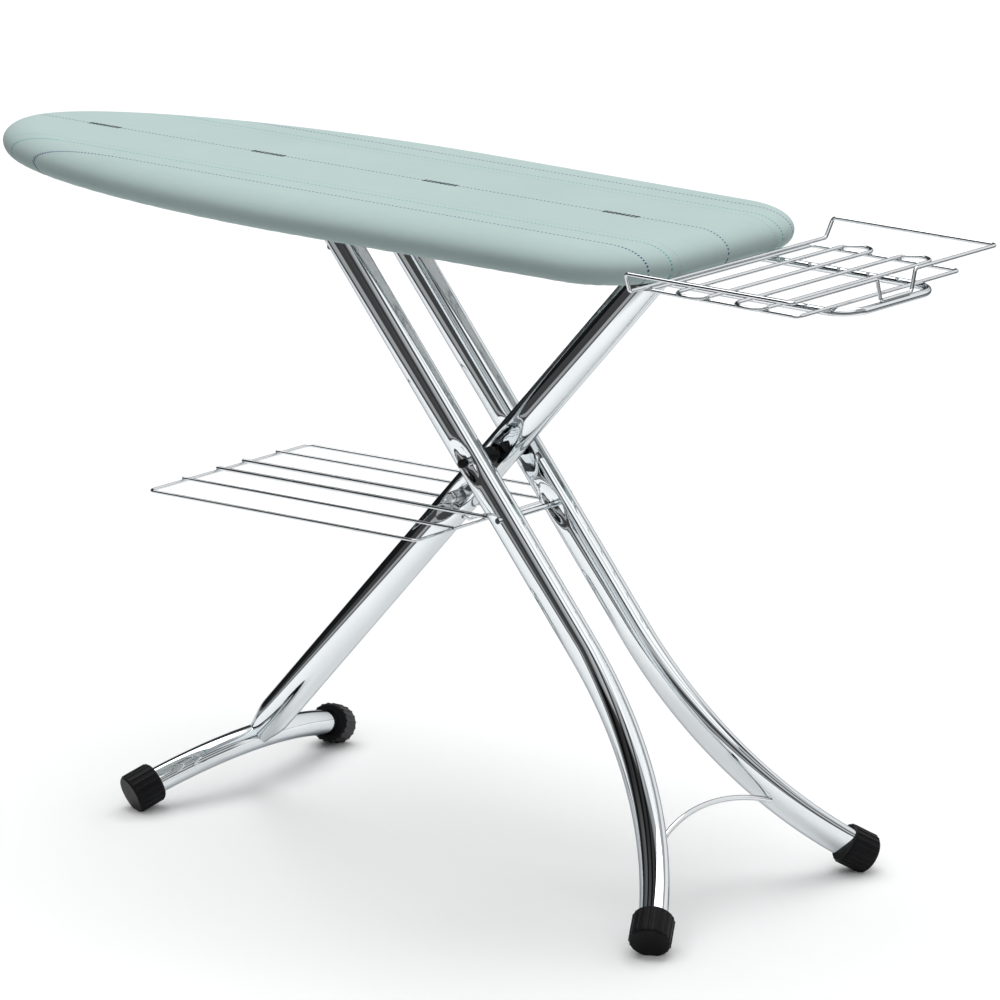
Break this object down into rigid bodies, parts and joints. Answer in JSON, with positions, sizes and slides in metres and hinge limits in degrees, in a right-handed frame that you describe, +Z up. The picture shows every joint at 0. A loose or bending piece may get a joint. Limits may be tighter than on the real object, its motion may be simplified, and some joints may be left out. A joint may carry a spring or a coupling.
{
  "type": "ironing board",
  "caption": "Folding ironing board with padded fabric top, crossed chromed oval legs, wire linen shelf and slide-out wire iron rest.",
  "frame": {"origin": "on the floor under the middle of the whole object", "axes": "+X towards the iron rest along the board, +Z up, +Y across to the far side"},
  "size_m": [1.523, 0.498, 0.894],
  "materials": {
    "fabric": "matt woven cotton",
    "foam": "felted pad",
    "deck_steel": "satin powder coat",
    "chrome": "polished",
    "plated_steel": "bright zinc",
    "black_rubber": "moulded, ribbed",
    "black_plastic": "moulded"
  },
  "bodies": {
    "board": {"cover": "fabric", "foam_pad": "foam", "deck_rim": "deck_steel", "deck_sheet": "deck_steel", "deck_ribs": "deck_steel", "track_near": "deck_steel", "track_far": "deck_steel", "guide_rod": "plated_steel", "guide_rod_brackets": "deck_steel", "hinge_bracket": "deck_steel", "hinge_pin": "plated_steel", "hinge_clips": "plated_steel", "rest_guides": "black_plastic"},
    "rear_leg": {"rear_leg_tube": "chrome", "foot_tube": "chrome", "rear_cap_near": "black_rubber", "rear_cap_far": "black_rubber", "rear_leg_plug": "black_plastic", "main_axle": "plated_steel", "pivot_spacers": "black_plastic", "axle_cap_near": "black_plastic", "axle_cap_far": "black_plastic", "shelf_pin": "plated_steel", "shelf_washers": "plated_steel", "shelf_pin_nuts": "plated_steel"},
    "front_legs": {"front_leg_near": "chrome", "front_leg_far": "chrome", "front_cap_near": "black_rubber", "front_cap_far": "black_rubber", "front_stretcher": "chrome", "cross_rod": "chrome", "top_axle": "plated_steel", "leg_plug_near": "black_plastic", "leg_plug_far": "black_plastic"},
    "slider": {"lock_carriage": "black_plastic", "slider_shoe_near": "black_plastic", "slider_shoe_far": "black_plastic", "lever_pin": "plated_steel", "lever_spring": "plated_steel"},
    "lock_lever": {"lock_lever": "plated_steel", "lever_grip": "black_rubber"},
    "shelf": {"shelf_frame": "chrome", "shelf_thick_bars": "chrome", "shelf_thin_bars": "chrome", "shelf_tie": "chrome"},
    "iron_rest": {"rest_slide_tube": "chrome", "rest_base_frame": "chrome", "rest_hairpins": "chrome", "rest_fence": "chrome", "rest_tips": "black_rubber"}
  },
  "joints": [
    {"name": "rear_leg_fold", "type": "hinge", "parent": "board", "child": "rear_leg", "pos_m": [0.37604, 0, 0.82621], "axis": [0, 1, 0], "range_deg": [0, 38.4]},
    {"name": "main_pivot", "type": "hinge", "parent": "rear_leg", "child": "front_legs", "pos_m": [0.1147, 0, 0.5435], "axis": [0, -1, 0], "range_deg": [0, 76.8]},
    {"name": "top_axle_pivot", "type": "hinge", "parent": "front_legs", "child": "slider", "pos_m": [-0.13431, 0, 0.83713], "axis": [0, 1, 0], "range_deg": [0, 38.4]},
    {"name": "lock_lever_pull", "type": "hinge", "parent": "slider", "child": "lock_lever", "pos_m": [-0.16803, 0, 0.85085], "axis": [0, 1, 0], "range_deg": [0, 8], "stiffness_Nm_per_rad": 0.8, "springref_deg": -8.59},
    {"name": "shelf_fold", "type": "hinge", "parent": "rear_leg", "child": "shelf", "pos_m": [0.05361, 0, 0.47741], "axis": [0, -1, 0], "range_deg": [0, 38.4]},
    {"name": "iron_rest_slide", "type": "slide", "parent": "board", "child": "iron_rest", "axis": [1, 0, 0], "range_m": [0, 0.12]}
  ],
  "couplings": [
    {"joint": "main_pivot", "follows": "rear_leg_fold", "ratio": 2},
    {"joint": "top_axle_pivot", "follows": "rear_leg_fold", "ratio": 1},
    {"joint": "shelf_fold", "follows": "rear_leg_fold", "ratio": 1}
  ]
}
